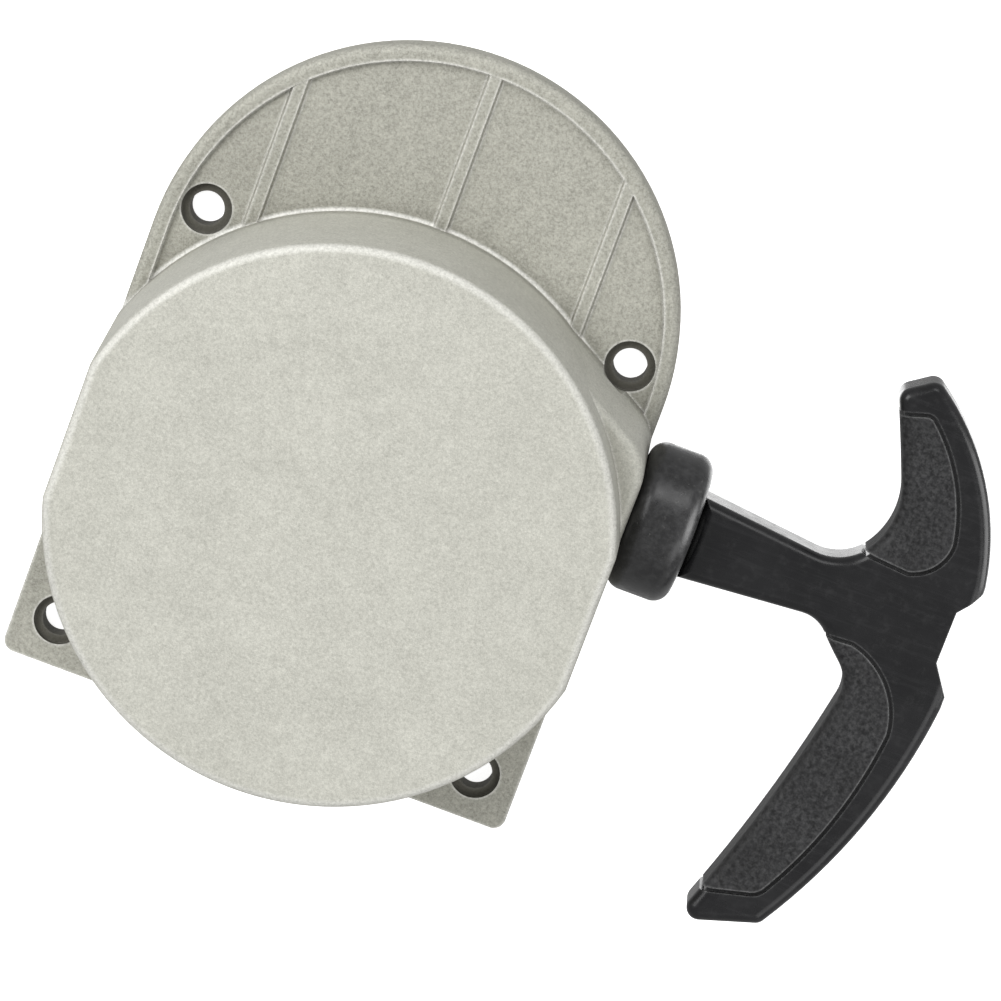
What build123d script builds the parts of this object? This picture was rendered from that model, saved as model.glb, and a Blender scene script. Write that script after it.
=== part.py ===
from build123d import *
import os
from math import acos, atan2, cos, degrees, hypot, pi, radians, sin, sqrt, tan

# Recoil starter of a small engine, in millimetres. The origin is on the reel's axis in the
# mounting face, +Z points out of the drum's face, +X towards the handle, +Y towards the dome.

os.makedirs("parts", exist_ok=True)

# ---------------------------------------------------------------- housing casting
PLATE_HALF = 47.0
PLATE_T = 5.5
DOME_Y = 34.0
PLATE_LOW_Y = -47.4
PLATE_CORNER_R = 2.2
RIM_W = 2.8
RIM_H = 0.9
RIM_LOW_Y = 5.0
RIM_OUTER_R = 1.5
RIB_X = (-31.0, 0.0, 28.0)
RIB_W = 2.9
RIB_H = 0.8
RIB_DRAFT = 30
RIB_LOW_Y = 30.0
HOLE_SPACING = 78.0
HOLE_R = 3.0
SPOT_FACE_R = 4.45
SPOT_FACE_DEPTH = 1.2
SPOT_FACE_RELIEF = 4.5
DRUM_BASE_R = 50.0
DRUM_FACE_R = 48.8
DRUM_FACE_Z = 34.5
DRUM_EDGE_R = 1.5
FLAT_X = 47.3
BLOCK_ANGLE = 60
BLOCK_TOP_Z = 26.0
BLOCK_DRAFT = 5.6
BLOCK_CORNER_R = 8.0
BLOCK_EDGE_R = 1.5
BLOCK_LOW_Y = -13.5
CAVITY_R = 44.0
CAVITY_EDGE_R = 2.0
CEILING_Z = 31.5
RECESS_DEPTH = 2.4
RECESS_FLANGE = 4.0
RECESS_DRUM_R = 53.0
RECESS_RIB_X = (-15.0, 15.0)
RECESS_RIB_W = 2.6
HOLE_BOSS_R = 7.5

# centre post, and the spring's chamber under the ceiling
POST_R = 6.0
POST_SHOULDER_R = 4.5
POST_SHOULDER_Z = 9.3
POST_END_Z = 3.3
CHAMBER_R = 33.0
CHAMBER_WALL = 2.5
CHAMBER_Z = 19.6
COVER_T = 0.8
COVER_R = 34.4
COVER_BORE_R = 12.4

# recoil spring: a flat strip, with loose inner turns and a close outer pack
SPRING_T = 0.6
SPRING_Z0 = 21.2
SPRING_Z1 = 30.2
SPRING_INNER_R = 12.6
SPRING_LOOSE_STEP = 3.1
SPRING_LOOSE_HALVES = 5
SPRING_PACK_R = 26.5
SPRING_PACK_STEP = 0.5
SPRING_PACK_HALVES = 13
INNER_HOOK_R = 1.0
INNER_HOOK_L = 1.4
NOTCH_W = 1.2
NOTCH_R = 9.8
ANCHOR_HOOK_R = 2.4
ANCHOR_PEG_R = 1.6
ANCHOR_TAIL = 1.5
ANCHOR_GAP_LOW = -3.4
ANCHOR_GAP_HIGH = 0.9

# reel
REEL_R = 40.0
REEL_Z0 = 9.2
GROOVE_Z0 = 11.3
GROOVE_Z1 = 15.3
REEL_Z1 = 17.8
REEL_HUB_R = 11.5
REEL_HUB_Z = 30.9
REEL_EDGE_R = 0.6
CORE_R = 17.0
BUSH_R = 8.0
RUNNING_GAP = 0.05
WINDOW_R = 4.2
WINDOW_PLACE_R = 28.5
WINDOWS = 6
PANEL_R = 31.5
PANEL_W = 10.0
PANEL_ARC = 26
PANEL_DEPTH = 0.8
PANELS = 8

# rope, its coil and its knots
ROPE_R = 1.75
ROPE_Z = 13.3
COIL_INNER_R = 18.9
COIL_PITCH = 3.7
COIL_HALF_TURNS = 9
COIL_START_R = 6.5
REEL_KNOT = (10.4, 6.6)
KNOT_R = 3.2
KNOT_POCKET_R = 3.6
KNOT_POCKET_Z1 = 16.8
ROPE_SLOT_W = 4.4
ROPE_BEND_X = 47.0
ROPE_BEND_R = 15.0
ROPE_RELIEF_R = 3.2
ROPE_RELIEF_L = 26.0

# exit: bush and collar
EXIT_Y = 16.8
EXIT_BORE_R = 6.5
EXIT_BUSH_X = 41.2
BELL_R = 6.0
BELL_MID = (44.4, 3.95)
THROAT_R = 2.6
THROAT_X = 47.6
TUBE_R = 5.0
LIP_X0 = 56.8
LIP_X1 = 57.9
LIP_R = 6.6
COLLAR_R = 13.4
COLLAR_END_X = 58.7
COLLAR_EDGE_R = 3.0
COLLAR_SEAT_R = 6.9

# pawls and their guide plate
PAWL_PIVOT_R = 19.0
PAWL_POST_R = 2.5
PAWL_POST_Z = 5.0
PAWL_BOSS_R = 4.6
PAWL_Z0 = 5.2
PAWL_Z1 = 9.0
PAWL_REACH = 16.5
PAWL_NOSE = 2.3
PAWL_SWING = 25.0
PEG_REACH = 8.0
PEG_R = 1.4
PEG_Z = 3.6
GUIDE_SWING = 30.0
GUIDE_Z0 = 3.4
GUIDE_Z1 = 4.8
GUIDE_HUB_R = 11.0
GUIDE_BORE_R = 4.6
GUIDE_SLOT_W = 3.4
GUIDE_LOBE_W = 7.6
BRAKE_WIRE_R = 0.5
BRAKE_R = 6.4
BRAKE_PITCH = 1.15
BRAKE_Z = 5.35
BRAKE_TURNS = 2
THRUST_R = 9.0
THRUST_T = 0.8

# centre screw and its washer
SCREW_R = 3.0
SCREW_HOLE_R = 3.05
SCREW_TOP_Z = 17.0
SCREW_HOLE_TOP_Z = 19.0
SCREW_HEAD_R = 5.2
SCREW_HEAD_Z = 0.3
SCREW_HEAD_EDGE_R = 0.8
SCREW_HEX_R = 2.3
SCREW_HEX_DEPTH = 1.6
CENTRE_WASHER_R = 8.0
CENTRE_WASHER_T = 0.7

# handle
HANDLE_T = 10.0
HANDLE_EDGE_R = 2.0
HANDLE_CORNER_R = 2.2
HANDLE_CROWN_R = 6.0
STEM_START = 11.7
KNOT_FLOOR = 48.0
KNOT_WASHER_T = 1.0
KNOT_WASHER_R = 3.9
HANDLE_POCKET_R = 4.0
HANDLE_KNOT_R = 3.6
ROPE_HOLE_R = 2.2
PAD_T = 1.4
PAD_CORNER_R = 1.5
GROOVE_W = 0.7
GROOVE_DEPTH = 0.7
CROWN_FLOOR = 58.7

EXIT_AXIS = Axis((0, EXIT_Y, ROPE_Z), (1, 0, 0))


# ---------------------------------------------------------------- shared shapes
def dome_face(half_width, low_y, corner=0.0):
    """A face with straight flanks, a half-round top about the dome's centre and a straight foot."""
    with BuildSketch() as face:
        with BuildLine():
            Polyline(
                (-half_width, DOME_Y),
                (-half_width, low_y),
                (half_width, low_y),
                (half_width, DOME_Y),
            )
            ThreePointArc((half_width, DOME_Y), (0, DOME_Y + half_width), (-half_width, DOME_Y))
        make_face()
        if corner:
            fillet(face.vertices().group_by(Axis.Y)[0], corner)
    return face.sketch


def on_handle(reach, side):
    """A point of the handle: reach from the exit face, and side from the rope's line."""
    return (FLAT_X + reach, EXIT_Y + side)


def turned(x, y, angle):
    """A point turned about the reel's axis, by an angle in degrees."""
    a = radians(angle)
    return (x * cos(a) - y * sin(a), x * sin(a) + y * cos(a))


def arc_about(centre, radius, from_angle, to_angle):
    """An arc about a centre, from one angle to another, in degrees."""
    ends_and_middle = [
        (centre[0] + radius * cos(radians(a)), centre[1] + radius * sin(radians(a)))
        for a in (from_angle, (from_angle + to_angle) / 2, to_angle)
    ]
    return ThreePointArc(*ends_and_middle)


def half_turn(x_from, x_to, bulge):
    """A half circle between two points of the X axis, through y of the bulge's sign."""
    middle = (x_from + x_to) / 2
    return ThreePointArc((x_from, 0), (middle, bulge * abs(x_to - x_from) / 2), (x_to, 0))


# where the rope leaves its coil: a tangent from the outermost arc to the exit's line
coil_end_centre = COIL_PITCH / 2
coil_end_r = COIL_INNER_R + COIL_HALF_TURNS / 2 * COIL_PITCH
exit_distance = hypot(ROPE_BEND_X - coil_end_centre, EXIT_Y)
leave_angle = degrees(
    atan2(EXIT_Y, ROPE_BEND_X - coil_end_centre) + acos(coil_end_r / exit_distance)
)
leave_point = (
    coil_end_centre + coil_end_r * cos(radians(leave_angle)),
    coil_end_r * sin(radians(leave_angle)),
)
rope_slope = 90 - leave_angle
bend_length = ROPE_BEND_R * tan(radians(rope_slope / 2))
bend_start = (
    ROPE_BEND_X - bend_length * cos(radians(rope_slope)),
    EXIT_Y + bend_length * sin(radians(rope_slope)),
)
bend_end = (ROPE_BEND_X + bend_length, EXIT_Y)

# ---------------------------------------------------------------- housing
# block round the rope's exit: its wall touches the drum at the plate and leans in above it
block_x, block_y = turned(DRUM_BASE_R + PLATE_T * tan(radians(BLOCK_DRAFT)), 0, BLOCK_ANGLE)
block_reach = 2 * FLAT_X
block_slope = tan(radians(90 - BLOCK_ANGLE))
with BuildPart() as exit_block:
    with BuildSketch():
        with BuildLine():
            Polyline(
                (0, BLOCK_LOW_Y),
                (block_reach, BLOCK_LOW_Y),
                (block_reach, block_y - (block_reach - block_x) * block_slope),
                (block_x, block_y),
                (0, block_y),
                close=True,
            )
        make_face()
    extrude(amount=BLOCK_TOP_Z, taper=BLOCK_DRAFT)
    split(bisect_by=Plane.YZ.offset(FLAT_X), keep=Keep.BOTTOM)
    flat_edges = exit_block.faces().sort_by(Axis.X)[-1].edges()
    fillet(flat_edges.sort_by(Axis.Y)[-1], BLOCK_CORNER_R)
    fillet(exit_block.faces().sort_by(Axis.Z)[-1].edges(), BLOCK_EDGE_R)

with BuildPart() as housing:
    # plate as high as its rim and rounded on its outline, then lowered inside the rim and below it
    with BuildSketch():
        add(dome_face(PLATE_HALF, PLATE_LOW_Y, PLATE_CORNER_R))
    extrude(amount=PLATE_T + RIM_H)
    fillet(housing.faces().sort_by(Axis.Z)[-1].edges(), RIM_OUTER_R)
    with BuildSketch(Plane.XY.offset(PLATE_T)):
        add(dome_face(PLATE_HALF - RIM_W, 0))
        with Locations((0, RIM_LOW_Y - 1.5 * PLATE_HALF)):
            Rectangle(3 * PLATE_HALF, 3 * PLATE_HALF)
    extrude(amount=2 * RIM_H, mode=Mode.SUBTRACT)

    # three straight ribs from the drum to the rim
    with BuildSketch(Plane.XY.offset(PLATE_T)):
        for x in RIB_X:
            rib_end = DOME_Y + sqrt((PLATE_HALF - RIM_W / 2) ** 2 - x**2)
            with Locations((x, (rib_end + RIB_LOW_Y) / 2)):
                Rectangle(RIB_W, rib_end - RIB_LOW_Y)
    extrude(amount=RIB_H, taper=RIB_DRAFT)

    # drum with its draft, and the block round the rope's exit
    with BuildSketch(Plane.XZ):
        with BuildLine():
            Polyline(
                (0, 0),
                (DRUM_BASE_R, 0),
                (DRUM_BASE_R, PLATE_T),
                (DRUM_FACE_R, DRUM_FACE_Z),
                (0, DRUM_FACE_Z),
                close=True,
            )
        make_face()
    revolve(axis=Axis.Z)
    split(bisect_by=Plane.YZ.offset(FLAT_X), keep=Keep.BOTTOM)
    split(bisect_by=Plane.YZ.offset(-FLAT_X), keep=Keep.TOP)
    fillet(housing.faces().sort_by(Axis.Z)[-1].edges(), DRUM_EDGE_R)
    add(exit_block.part)

    # mounting holes, each with a spot face that cuts a little into a wall beside it
    with BuildSketch(Plane.XY.offset(PLATE_T - SPOT_FACE_DEPTH)):
        with GridLocations(HOLE_SPACING, HOLE_SPACING, 2, 2):
            Circle(SPOT_FACE_R)
    extrude(amount=SPOT_FACE_DEPTH + SPOT_FACE_RELIEF, mode=Mode.SUBTRACT)
    with BuildSketch():
        with GridLocations(HOLE_SPACING, HOLE_SPACING, 2, 2):
            Circle(HOLE_R)
    extrude(amount=PLATE_T, mode=Mode.SUBTRACT)

    # recess in the back of the domed end, round the holes' bosses and two ribs
    with BuildSketch():
        add(dome_face(PLATE_HALF - RECESS_FLANGE, 0))
        Circle(RECESS_DRUM_R, mode=Mode.SUBTRACT)
        with GridLocations(HOLE_SPACING, HOLE_SPACING, 2, 2):
            Circle(HOLE_BOSS_R, mode=Mode.SUBTRACT)
        Rectangle(2 * PLATE_HALF, 2 * DOME_Y, mode=Mode.SUBTRACT)
        for x in RECESS_RIB_X:
            with Locations((x, DOME_Y + PLATE_HALF / 2)):
                Rectangle(RECESS_RIB_W, PLATE_HALF, mode=Mode.SUBTRACT)
    extrude(amount=RECESS_DEPTH, mode=Mode.SUBTRACT)

    # cavity, open at the mounting face
    with BuildSketch(Plane.XZ):
        with BuildLine() as cavity_line:
            Polyline(
                (0, 0), (CAVITY_R, 0), (CAVITY_R, CEILING_Z), (0, CEILING_Z), close=True
            )
        make_face()
        fillet(
            cavity_line.vertices().sort_by_distance((CAVITY_R, CEILING_Z, 0))[0], CAVITY_EDGE_R
        )
    revolve(axis=Axis.Z, mode=Mode.SUBTRACT)

    # stepped centre post, with the screw's hole
    with BuildSketch(Plane.XY.offset(CEILING_Z)):
        Circle(POST_R)
    extrude(amount=POST_SHOULDER_Z - CEILING_Z)
    with BuildSketch(Plane.XY.offset(POST_END_Z)):
        Circle(POST_SHOULDER_R)
    extrude(amount=POST_SHOULDER_Z - POST_END_Z)
    with BuildSketch(Plane.XY.offset(POST_END_Z)):
        Circle(SCREW_HOLE_R)
    extrude(amount=SCREW_HOLE_TOP_Z - POST_END_Z, mode=Mode.SUBTRACT)

    # ring wall of the spring's chamber, its step for the cover, and the spring's anchor
    with BuildSketch(Plane.XY.offset(CEILING_Z)):
        Circle(CHAMBER_R + CHAMBER_WALL)
        Circle(CHAMBER_R, mode=Mode.SUBTRACT)
    extrude(amount=CHAMBER_Z - CEILING_Z)
    with BuildSketch(Plane.XY.offset(CHAMBER_Z)):
        Circle(COVER_R)
        Circle(CHAMBER_R - 1, mode=Mode.SUBTRACT)
    extrude(amount=COVER_T, mode=Mode.SUBTRACT)
    with BuildSketch(Plane.XY.offset(CHAMBER_Z + COVER_T)):
        with Locations((-CHAMBER_R - CHAMBER_WALL / 2, (ANCHOR_GAP_LOW + ANCHOR_GAP_HIGH) / 2)):
            Rectangle(2 * CHAMBER_WALL, ANCHOR_GAP_HIGH - ANCHOR_GAP_LOW)
    extrude(amount=CEILING_Z - CHAMBER_Z - COVER_T, mode=Mode.SUBTRACT)
    anchor_x = -(SPRING_PACK_R + SPRING_PACK_STEP * (SPRING_PACK_HALVES - 1)) - ANCHOR_HOOK_R
    with BuildSketch(Plane.XY.offset(CEILING_Z)):
        with Locations((anchor_x, 0)):
            Circle(ANCHOR_PEG_R)
    extrude(amount=SPRING_Z0 - CEILING_Z)

    # exit bore, and the rope's way into it from the reel
    with BuildSketch(Plane.YZ.offset(FLAT_X)):
        with Locations((EXIT_Y, ROPE_Z)):
            Circle(EXIT_BORE_R)
    extrude(amount=-(FLAT_X - CAVITY_R * cos(radians(32))), mode=Mode.SUBTRACT)
    rope_way = Plane(
        origin=(*leave_point, ROPE_Z),
        z_dir=(cos(radians(rope_slope)), -sin(radians(rope_slope)), 0),
    )
    with BuildSketch(rope_way):
        Circle(ROPE_RELIEF_R)
    extrude(amount=ROPE_RELIEF_L, mode=Mode.SUBTRACT)
housing.part.label = "housing"
export_step(housing.part, "parts/housing.step")

# ---------------------------------------------------------------- exit bush and collar
with BuildPart() as rope_bush:
    with BuildSketch(Plane.XY.offset(ROPE_Z)):
        with BuildLine():
            Polyline(
                (EXIT_BUSH_X, EXIT_Y + BELL_R),
                (EXIT_BUSH_X, EXIT_Y + EXIT_BORE_R),
                (FLAT_X, EXIT_Y + EXIT_BORE_R),
                (FLAT_X, EXIT_Y + TUBE_R),
                (LIP_X0, EXIT_Y + TUBE_R),
                (LIP_X0, EXIT_Y + LIP_R),
                (LIP_X1, EXIT_Y + LIP_R),
                (LIP_X1, EXIT_Y + THROAT_R + 1),
            )
            RadiusArc((LIP_X1, EXIT_Y + THROAT_R + 1), (LIP_X1 - 1, EXIT_Y + THROAT_R), 1)
            Line((LIP_X1 - 1, EXIT_Y + THROAT_R), (THROAT_X, EXIT_Y + THROAT_R))
            ThreePointArc(
                (THROAT_X, EXIT_Y + THROAT_R),
                (BELL_MID[0], EXIT_Y + BELL_MID[1]),
                (EXIT_BUSH_X, EXIT_Y + BELL_R),
            )
        make_face()
    revolve(axis=EXIT_AXIS)
rope_bush.part.label = "rope_bush"
export_step(rope_bush.part, "parts/rope_bush.step")

with BuildPart() as collar:
    with BuildSketch(Plane.XY.offset(ROPE_Z)) as collar_profile:
        with BuildLine():
            Polyline(
                (FLAT_X, EXIT_Y + TUBE_R),
                (FLAT_X, EXIT_Y + COLLAR_R),
                (COLLAR_END_X, EXIT_Y + COLLAR_R),
                (COLLAR_END_X, EXIT_Y + COLLAR_SEAT_R),
                (LIP_X0, EXIT_Y + COLLAR_SEAT_R),
                (LIP_X0, EXIT_Y + TUBE_R),
                close=True,
            )
        make_face()
        fillet(collar_profile.vertices().group_by(Axis.Y)[-1], COLLAR_EDGE_R)
    revolve(axis=EXIT_AXIS)
collar.part.label = "collar"
export_step(collar.part, "parts/collar.step")

# ---------------------------------------------------------------- spring and its cover
with BuildPart() as spring_cover:
    with BuildSketch(Plane.XY.offset(CHAMBER_Z)):
        Circle(COVER_R)
        Circle(COVER_BORE_R, mode=Mode.SUBTRACT)
    extrude(amount=COVER_T)
spring_cover.part.label = "spring_cover"
export_step(spring_cover.part, "parts/spring_cover.step")

spring_radii = [SPRING_INNER_R + SPRING_LOOSE_STEP * i for i in range(SPRING_LOOSE_HALVES)]
spring_radii += [SPRING_PACK_R + SPRING_PACK_STEP * i for i in range(SPRING_PACK_HALVES)]
spring_x = [r if i % 2 == 0 else -r for i, r in enumerate(spring_radii)]
spring_mid_z = (SPRING_Z0 + SPRING_Z1) / 2
hook_x = SPRING_INNER_R - INNER_HOOK_R
with BuildPart() as recoil_spring:
    with BuildLine(Plane.XY.offset(spring_mid_z)) as strip_line:
        Line((hook_x - INNER_HOOK_L, -INNER_HOOK_R), (hook_x, -INNER_HOOK_R))
        arc_about((hook_x, 0), INNER_HOOK_R, -90, 0)
        for i in range(len(spring_x) - 1):
            half_turn(spring_x[i], spring_x[i + 1], 1 if i % 2 == 0 else -1)
        half_turn(spring_x[-1], spring_x[-1] - 2 * ANCHOR_HOOK_R, -1)
        tail_x = spring_x[-1] - 2 * ANCHOR_HOOK_R
        Line((tail_x, 0), (tail_x, ANCHOR_TAIL))
    strip_path = strip_line.wires()[0]
    with BuildSketch(Plane(origin=strip_path @ 0, x_dir=(0, 0, 1), z_dir=strip_path % 0)):
        Rectangle(SPRING_Z1 - SPRING_Z0, SPRING_T)
    sweep(path=strip_path)
recoil_spring.part.label = "recoil_spring"
export_step(recoil_spring.part, "parts/recoil_spring.step")

# ---------------------------------------------------------------- reel
with BuildPart() as reel:
    with BuildSketch(Plane.XZ):
        with BuildLine():
            Polyline(
                (BUSH_R, REEL_Z0),
                (REEL_R, REEL_Z0),
                (REEL_R, GROOVE_Z0),
                (CORE_R, GROOVE_Z0),
                (CORE_R, GROOVE_Z1),
                (REEL_R, GROOVE_Z1),
                (REEL_R, REEL_Z1),
                (REEL_HUB_R, REEL_Z1),
                (REEL_HUB_R, REEL_HUB_Z),
                (BUSH_R, REEL_HUB_Z),
                close=True,
            )
        make_face()
    revolve(axis=Axis.Z)
    rim_circles = reel.edges().filter_by(GeomType.CIRCLE)
    fillet(rim_circles.filter_by(lambda e: abs(e.radius - REEL_R) < 0.01), REEL_EDGE_R)

    # posts that the pawls turn on
    with BuildSketch(Plane.XY.offset(PAWL_POST_Z)):
        with PolarLocations(PAWL_PIVOT_R, 2, start_angle=90):
            Circle(PAWL_POST_R)
    extrude(amount=REEL_Z0 - PAWL_POST_Z)

    # lightening windows in the upper flange
    with BuildSketch(Plane.XY.offset(GROOVE_Z1)):
        with PolarLocations(WINDOW_PLACE_R, WINDOWS, start_angle=30):
            Circle(WINDOW_R)
    extrude(amount=REEL_Z1 - GROOVE_Z1, mode=Mode.SUBTRACT)

    # shallow panels in the lower flange, with ribs left between them
    with BuildSketch(Plane.XY.offset(REEL_Z0)):
        for i in range(PANELS):
            with BuildLine() as panel_line:
                CenterArc((0, 0), PANEL_R, (i + 0.5) * 360 / PANELS - PANEL_ARC / 2, PANEL_ARC)
            SlotArc(panel_line.edges()[0], PANEL_W)
    extrude(amount=PANEL_DEPTH, mode=Mode.SUBTRACT)

    # knot pocket, open below, and the rope's curved slot from it to the groove
    with BuildSketch(Plane.XY.offset(REEL_Z0)):
        with Locations(REEL_KNOT):
            Circle(KNOT_POCKET_R)
    extrude(amount=KNOT_POCKET_Z1 - REEL_Z0, mode=Mode.SUBTRACT)
    slot_centre = COIL_INNER_R - COIL_START_R
    with BuildSketch(Plane.XY.offset(GROOVE_Z0)):
        with BuildLine() as slot_line:
            CenterArc((slot_centre, 0), COIL_START_R, 20, 70)
        SlotArc(slot_line.edges()[0], ROPE_SLOT_W)
    extrude(amount=GROOVE_Z1 - GROOVE_Z0, mode=Mode.SUBTRACT)

    # notch in the hub for the spring's inner hook
    with BuildSketch(Plane.XY.offset(SPRING_Z0 - 1)):
        with Locations(((NOTCH_R + REEL_HUB_R + 1) / 2, -INNER_HOOK_R)):
            Rectangle(REEL_HUB_R + 1 - NOTCH_R, NOTCH_W)
    extrude(amount=REEL_HUB_Z - SPRING_Z0 + 1, mode=Mode.SUBTRACT)
reel.part.label = "reel"
export_step(reel.part, "parts/reel.step")

with BuildPart() as reel_bush:
    with BuildSketch(Plane.XY.offset(REEL_Z0)):
        Circle(BUSH_R)
        Circle(POST_R + RUNNING_GAP, mode=Mode.SUBTRACT)
    extrude(amount=REEL_HUB_Z - REEL_Z0)
reel_bush.part.label = "reel_bush"
export_step(reel_bush.part, "parts/reel_bush.step")

with BuildPart() as thrust_washer:
    with BuildSketch(Plane.XY.offset(REEL_Z0 - THRUST_T)):
        Circle(THRUST_R)
        Circle(POST_SHOULDER_R + RUNNING_GAP, mode=Mode.SUBTRACT)
    extrude(amount=THRUST_T)
thrust_washer.part.label = "thrust_washer"
export_step(thrust_washer.part, "parts/thrust_washer.step")

# ---------------------------------------------------------------- rope
with BuildPart() as rope_coil:
    with BuildLine(Plane.XY.offset(ROPE_Z)) as coil_line:
        arc_about((slot_centre, 0), COIL_START_R, 90, 0)
        coil_x = COIL_INNER_R
        for i in range(COIL_HALF_TURNS):
            next_x = -coil_x if i % 2 == 0 else -coil_x + COIL_PITCH
            half_turn(coil_x, next_x, -1 if i % 2 == 0 else 1)
            coil_x = next_x
        arc_about((coil_end_centre, 0), coil_end_r, 180, leave_angle)
    coil_path = coil_line.wires()[0]
    with BuildSketch(Plane(origin=coil_path @ 0, z_dir=coil_path % 0)):
        Circle(ROPE_R)
    sweep(path=coil_path)
rope_coil.part.label = "rope_coil"
export_step(rope_coil.part, "parts/rope_coil.step")

with BuildPart() as rope_span:
    with BuildLine(Plane.XY.offset(ROPE_Z)) as span_line:
        Line(leave_point, bend_start)
        bend_centre = (bend_end[0], EXIT_Y + ROPE_BEND_R)
        arc_about(bend_centre, ROPE_BEND_R, 270 - rope_slope, 270)
        Line(bend_end, (COLLAR_END_X, EXIT_Y))
    span_path = span_line.wires()[0]
    with BuildSketch(Plane(origin=span_path @ 0, z_dir=span_path % 0)):
        Circle(ROPE_R)
    sweep(path=span_path)
rope_span.part.label = "rope_span"
export_step(rope_span.part, "parts/rope_span.step")

with BuildPart() as reel_knot:
    with Locations((*REEL_KNOT, ROPE_Z)):
        Sphere(KNOT_R)
    split(bisect_by=Plane.YZ.offset(slot_centre), keep=Keep.BOTTOM)
reel_knot.part.label = "reel_knot"
export_step(reel_knot.part, "parts/reel_knot.step")

# ---------------------------------------------------------------- pawls and guide
def pawl_solid(angle):
    """A pawl on its post: a boss, an arm to a square nose, and the peg that the guide moves."""
    with BuildPart() as pawl:
        with BuildSketch(Plane.XY.offset(PAWL_Z0).rotated((0, 0, angle))) as plan:
            with Locations((0, PAWL_PIVOT_R)):
                Circle(PAWL_BOSS_R)
            with BuildLine():
                Line((0, PAWL_PIVOT_R - PAWL_BOSS_R), (PAWL_REACH - 2, PAWL_PIVOT_R - PAWL_NOSE))
                Line(
                    (PAWL_REACH - 2, PAWL_PIVOT_R - PAWL_NOSE),
                    (PAWL_REACH, PAWL_PIVOT_R + PAWL_NOSE),
                )
                ThreePointArc(
                    (PAWL_REACH, PAWL_PIVOT_R + PAWL_NOSE),
                    (PAWL_REACH / 2, PAWL_PIVOT_R + PAWL_NOSE + 0.7),
                    (0, PAWL_PIVOT_R + PAWL_BOSS_R),
                )
                Line((0, PAWL_PIVOT_R + PAWL_BOSS_R), (0, PAWL_PIVOT_R - PAWL_BOSS_R))
            make_face()
            with Locations((0, PAWL_PIVOT_R)):
                Circle(PAWL_POST_R + RUNNING_GAP, mode=Mode.SUBTRACT)
        extrude(amount=PAWL_Z1 - PAWL_Z0)
        with BuildSketch(Plane.XY.offset(PEG_Z).rotated((0, 0, angle))):
            with Locations((PEG_REACH, PAWL_PIVOT_R)):
                Circle(PEG_R)
        extrude(amount=PAWL_Z0 - PEG_Z)
    return pawl


pawl_1 = pawl_solid(0)
pawl_1.part.label = "pawl_1"
export_step(pawl_1.part, "parts/pawl_1.step")

pawl_2 = pawl_solid(180)
pawl_2.part.label = "pawl_2"
export_step(pawl_2.part, "parts/pawl_2.step")


def peg_in_guide(share):
    """Where a pawl's peg stands in the guide plate's own frame, at a share of the swing."""
    swing = radians(PAWL_SWING * share)
    x = PEG_REACH * cos(swing)
    y = PAWL_PIVOT_R + PEG_REACH * sin(swing)
    return turned(x, y, -GUIDE_SWING * share)


with BuildPart() as guide_plate:
    with BuildSketch(Plane.XY.offset(GUIDE_Z0)):
        with BuildLine() as cam_line:
            ThreePointArc(peg_in_guide(0), peg_in_guide(0.5), peg_in_guide(1))
        cam_path = cam_line.edges()[0]
        Circle(GUIDE_HUB_R)
        with PolarLocations(0, 2):
            SlotArc(cam_path, GUIDE_LOBE_W)
            Polygon((0, 0), (2, 17), peg_in_guide(0.5), (19, 12), (8, 0), align=None)
        with PolarLocations(0, 2):
            SlotArc(cam_path, GUIDE_SLOT_W, mode=Mode.SUBTRACT)
        Circle(GUIDE_BORE_R, mode=Mode.SUBTRACT)
    extrude(amount=GUIDE_Z1 - GUIDE_Z0)
guide_plate.part.label = "guide_plate"
export_step(guide_plate.part, "parts/guide_plate.step")

with BuildPart() as brake_spring:
    with BuildLine() as brake_line:
        Helix(
            BRAKE_PITCH, BRAKE_PITCH * BRAKE_TURNS, BRAKE_R, center=(0, 0, BRAKE_Z)
        )
    with BuildSketch(Plane(origin=brake_line.edges()[0] @ 0, z_dir=brake_line.edges()[0] % 0)):
        Circle(BRAKE_WIRE_R)
    sweep(path=brake_line.edges()[0], is_frenet=True)
brake_spring.part.label = "brake_spring"
export_step(brake_spring.part, "parts/brake_spring.step")

# ---------------------------------------------------------------- centre screw and washer
with BuildPart() as centre_washer:
    with BuildSketch(Plane.XY.offset(POST_END_Z - CENTRE_WASHER_T)):
        Circle(CENTRE_WASHER_R)
        Circle(SCREW_HOLE_R, mode=Mode.SUBTRACT)
    extrude(amount=CENTRE_WASHER_T)
centre_washer.part.label = "centre_washer"
export_step(centre_washer.part, "parts/centre_washer.step")

head_top_z = POST_END_Z - CENTRE_WASHER_T
with BuildPart() as centre_screw:
    with BuildSketch(Plane.XY.offset(SCREW_HEAD_Z)):
        Circle(SCREW_HEAD_R)
    extrude(amount=head_top_z - SCREW_HEAD_Z)
    fillet(centre_screw.edges().group_by(Axis.Z)[0], SCREW_HEAD_EDGE_R)
    with BuildSketch(Plane.XY.offset(head_top_z)):
        Circle(SCREW_R)
    extrude(amount=SCREW_TOP_Z - head_top_z)
    chamfer(centre_screw.edges().group_by(Axis.Z)[-1], SCREW_HEAD_EDGE_R)
    with BuildSketch(Plane.XY.offset(SCREW_HEAD_Z)):
        RegularPolygon(SCREW_HEX_R, 6)
    extrude(amount=SCREW_HEX_DEPTH, mode=Mode.SUBTRACT)
centre_screw.part.label = "centre_screw"
export_step(centre_screw.part, "parts/centre_screw.step")

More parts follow.
